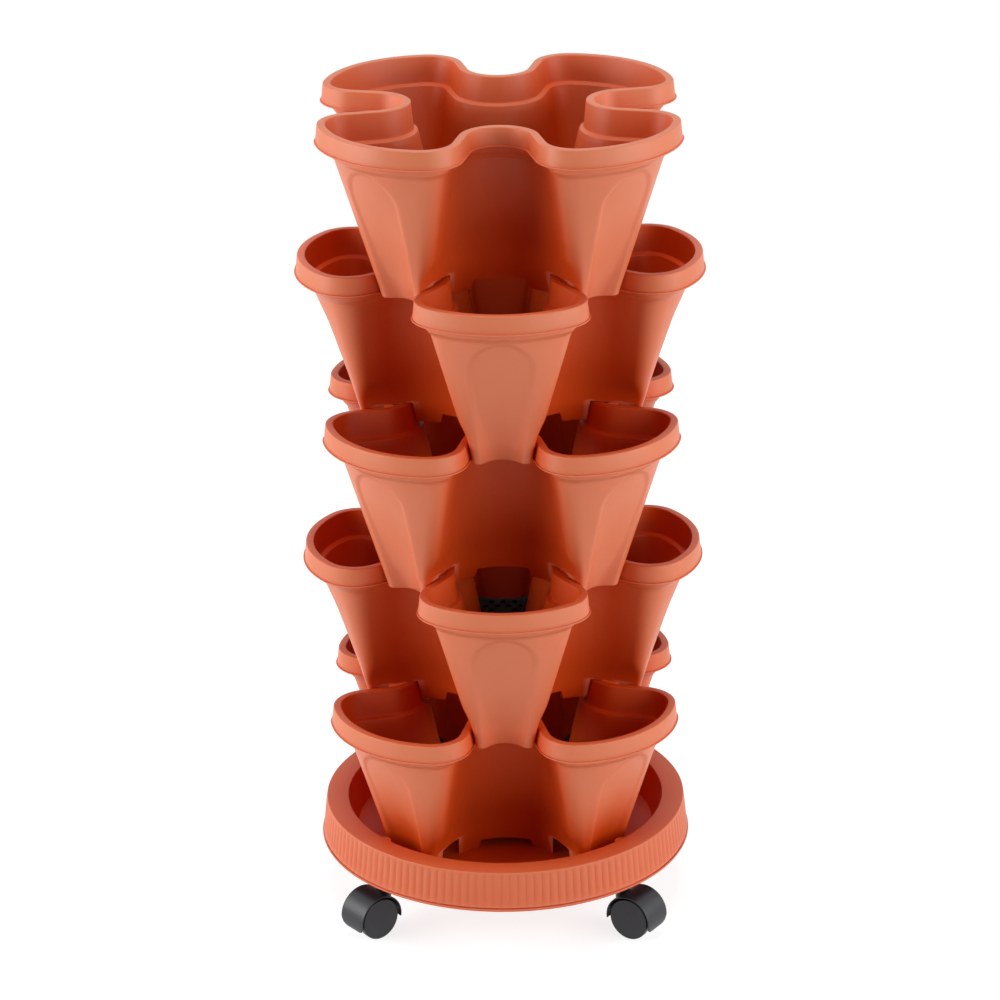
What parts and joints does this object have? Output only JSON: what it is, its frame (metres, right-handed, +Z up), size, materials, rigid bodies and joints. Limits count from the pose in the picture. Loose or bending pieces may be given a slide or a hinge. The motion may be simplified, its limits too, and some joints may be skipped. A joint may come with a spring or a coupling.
{
  "type": "vertical planter tower",
  "caption": "Stack of four-lobed plastic pots with lift-out drainage grids on a round saucer that rolls on swivelling twin-wheel castors.",
  "frame": {"origin": "on the floor under the tower's axis, midway between the castors", "axes": "+Z up along the stack, -Y towards the viewer, +X to the viewer's right"},
  "size_m": [0.3614, 0.3614, 0.7608],
  "materials": {
    "terracotta_plastic": "moulded polypropylene, satin",
    "black_plastic": "moulded polypropylene, matt",
    "castor_plastic": "moulded nylon, satin",
    "zinc_steel": "bright zinc plate"
  },
  "bodies": {
    "saucer": {"saucer": "terracotta_plastic", "castor_front_left_stem": "zinc_steel", "castor_front_left_grip_ring": "zinc_steel", "castor_front_right_stem": "zinc_steel", "castor_front_right_grip_ring": "zinc_steel", "castor_back_right_stem": "zinc_steel", "castor_back_right_grip_ring": "zinc_steel", "castor_back_left_stem": "zinc_steel", "castor_back_left_grip_ring": "zinc_steel"},
    "tier_1": {"tier_1_pot": "terracotta_plastic"},
    "grid_1": {"tier_1_grid": "black_plastic"},
    "tier_2": {"tier_2_pot": "terracotta_plastic"},
    "grid_2": {"tier_2_grid": "black_plastic"},
    "tier_3": {"tier_3_pot": "terracotta_plastic"},
    "grid_3": {"tier_3_grid": "black_plastic"},
    "tier_4": {"tier_4_pot": "terracotta_plastic"},
    "grid_4": {"tier_4_grid": "black_plastic"},
    "tier_5": {"tier_5_pot": "terracotta_plastic"},
    "grid_5": {"tier_5_grid": "black_plastic"},
    "castor_front_left_swivel": {"castor_front_left_hood": "castor_plastic", "castor_front_left_axle": "zinc_steel"},
    "castor_front_left_wheel_a": {"castor_front_left_wheel_a": "castor_plastic"},
    "castor_front_left_wheel_b": {"castor_front_left_wheel_b": "castor_plastic"},
    "castor_front_right_swivel": {"castor_front_right_hood": "castor_plastic", "castor_front_right_axle": "zinc_steel"},
    "castor_front_right_wheel_a": {"castor_front_right_wheel_a": "castor_plastic"},
    "castor_front_right_wheel_b": {"castor_front_right_wheel_b": "castor_plastic"},
    "castor_back_right_swivel": {"castor_back_right_hood": "castor_plastic", "castor_back_right_axle": "zinc_steel"},
    "castor_back_right_wheel_a": {"castor_back_right_wheel_a": "castor_plastic"},
    "castor_back_right_wheel_b": {"castor_back_right_wheel_b": "castor_plastic"},
    "castor_back_left_swivel": {"castor_back_left_hood": "castor_plastic", "castor_back_left_axle": "zinc_steel"},
    "castor_back_left_wheel_a": {"castor_back_left_wheel_a": "castor_plastic"},
    "castor_back_left_wheel_b": {"castor_back_left_wheel_b": "castor_plastic"}
  },
  "joints": [
    {"name": "tier_1_lift", "type": "slide", "parent": "saucer", "child": "tier_1", "axis": [0, 0, 1], "range_m": [0, 0.12]},
    {"name": "grid_1_lift", "type": "slide", "parent": "tier_1", "child": "grid_1", "axis": [0, 0, 1], "range_m": [0, 0.08]},
    {"name": "tier_2_lift", "type": "slide", "parent": "tier_1", "child": "tier_2", "axis": [0, 0, 1], "range_m": [0, 0.12]},
    {"name": "grid_2_lift", "type": "slide", "parent": "tier_2", "child": "grid_2", "axis": [0, 0, 1], "range_m": [0, 0.08]},
    {"name": "tier_3_lift", "type": "slide", "parent": "tier_2", "child": "tier_3", "axis": [0, 0, 1], "range_m": [0, 0.12]},
    {"name": "grid_3_lift", "type": "slide", "parent": "tier_3", "child": "grid_3", "axis": [0, 0, 1], "range_m": [0, 0.08]},
    {"name": "tier_4_lift", "type": "slide", "parent": "tier_3", "child": "tier_4", "axis": [0, 0, 1], "range_m": [0, 0.12]},
    {"name": "grid_4_lift", "type": "slide", "parent": "tier_4", "child": "grid_4", "axis": [0, 0, 1], "range_m": [0, 0.08]},
    {"name": "tier_5_lift", "type": "slide", "parent": "tier_4", "child": "tier_5", "axis": [0, 0, 1], "range_m": [0, 0.12]},
    {"name": "grid_5_lift", "type": "slide", "parent": "tier_5", "child": "grid_5", "axis": [0, 0, 1], "range_m": [0, 0.08]},
    {"name": "castor_front_left_swivel_turn", "type": "hinge", "parent": "saucer", "child": "castor_front_left_swivel", "pos_m": [-0.11249, -0.09847, 0.045], "axis": [0, 0, 1], "continuous": true},
    {"name": "castor_front_left_wheel_a_roll", "type": "hinge", "parent": "castor_front_left_swivel", "child": "castor_front_left_wheel_a", "pos_m": [-0.12411, -0.10795, 0.02], "axis": [0.632, -0.7749, 0], "continuous": true},
    {"name": "castor_front_left_wheel_b_roll", "type": "hinge", "parent": "castor_front_left_swivel", "child": "castor_front_left_wheel_b", "pos_m": [-0.12411, -0.10795, 0.02], "axis": [0.632, -0.7749, 0], "continuous": true},
    {"name": "castor_front_right_swivel_turn", "type": "hinge", "parent": "saucer", "child": "castor_front_right_swivel", "pos_m": [0.10681, -0.1046, 0.045], "axis": [0, 0, 1], "continuous": true},
    {"name": "castor_front_right_wheel_a_roll", "type": "hinge", "parent": "castor_front_right_swivel", "child": "castor_front_right_wheel_a", "pos_m": [0.11919, -0.11307, 0.02], "axis": [0.565, 0.8251, 0], "continuous": true},
    {"name": "castor_front_right_wheel_b_roll", "type": "hinge", "parent": "castor_front_right_swivel", "child": "castor_front_right_wheel_b", "pos_m": [0.11919, -0.11307, 0.02], "axis": [0.565, 0.8251, 0], "continuous": true},
    {"name": "castor_back_right_swivel_turn", "type": "hinge", "parent": "saucer", "child": "castor_back_right_swivel", "pos_m": [0.11249, 0.09847, 0.045], "axis": [0, 0, 1], "continuous": true},
    {"name": "castor_back_right_wheel_a_roll", "type": "hinge", "parent": "castor_back_right_swivel", "child": "castor_back_right_wheel_a", "pos_m": [0.12377, 0.10835, 0.02], "axis": [-0.6587, 0.7524, 0], "continuous": true},
    {"name": "castor_back_right_wheel_b_roll", "type": "hinge", "parent": "castor_back_right_swivel", "child": "castor_back_right_wheel_b", "pos_m": [0.12377, 0.10835, 0.02], "axis": [-0.6587, 0.7524, 0], "continuous": true},
    {"name": "castor_back_left_swivel_turn", "type": "hinge", "parent": "saucer", "child": "castor_back_left_swivel", "pos_m": [-0.10681, 0.1046, 0.045], "axis": [0, 0, 1], "continuous": true},
    {"name": "castor_back_left_wheel_a_roll", "type": "hinge", "parent": "castor_back_left_swivel", "child": "castor_back_left_wheel_a", "pos_m": [-0.11753, 0.1151, 0.02], "axis": [-0.6997, -0.7145, 0], "continuous": true},
    {"name": "castor_back_left_wheel_b_roll", "type": "hinge", "parent": "castor_back_left_swivel", "child": "castor_back_left_wheel_b", "pos_m": [-0.11753, 0.1151, 0.02], "axis": [-0.6997, -0.7145, 0], "continuous": true}
  ]
}
